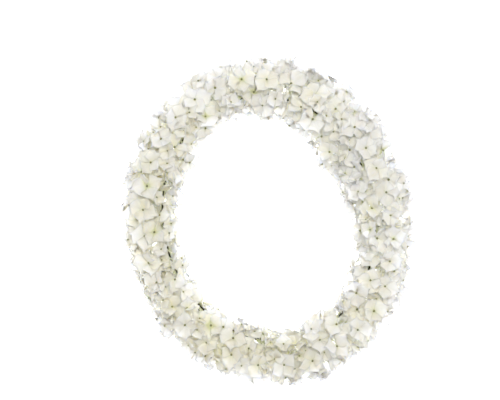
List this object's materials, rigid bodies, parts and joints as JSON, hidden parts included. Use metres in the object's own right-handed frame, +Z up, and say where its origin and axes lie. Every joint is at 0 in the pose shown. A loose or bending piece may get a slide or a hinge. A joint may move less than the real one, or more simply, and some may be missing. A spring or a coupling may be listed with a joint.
{
  "type": "hydrangea wreath",
  "caption": "Oval wire ring dressed all round with sprays of white four-sepalled hydrangea florets, lying flat.",
  "frame": {"origin": "Middle of the wreath's footprint, on the surface that it lies on.", "axes": "+Z up out of the surface, through the ring and towards the viewer of the picture; +Y towards the top of the picture, near the ring's long axis; +X towards its right."},
  "size_m": [0.2918, 0.3278, 0.0509],
  "materials": {
    "ring_wire": "satin",
    "binding_wire": "satin",
    "sepals": "matte",
    "stems": "matte"
  },
  "bodies": {
    "root": {"wire_ring": "ring_wire", "binding_wire": "binding_wire", "outer_spray_01": "sepals", "outer_spray_02": "sepals", "outer_spray_03": "sepals", "outer_spray_04": "sepals", "outer_spray_05": "sepals", "outer_spray_06": "sepals", "outer_spray_07": "sepals", "outer_spray_08": "sepals", "outer_spray_09": "sepals", "outer_spray_10": "sepals", "outer_spray_11": "sepals", "outer_spray_12": "sepals", "outer_spray_13": "sepals", "inner_spray_01": "sepals", "inner_spray_02": "sepals", "inner_spray_03": "sepals", "inner_spray_04": "sepals", "inner_spray_05": "sepals", "inner_spray_06": "sepals", "inner_spray_07": "sepals", "inner_spray_08": "sepals", "inner_spray_09": "sepals", "inner_spray_10": "sepals", "inner_spray_11": "sepals", "inner_spray_12": "sepals", "inner_spray_13": "sepals"}
  },
  "joints": []
}
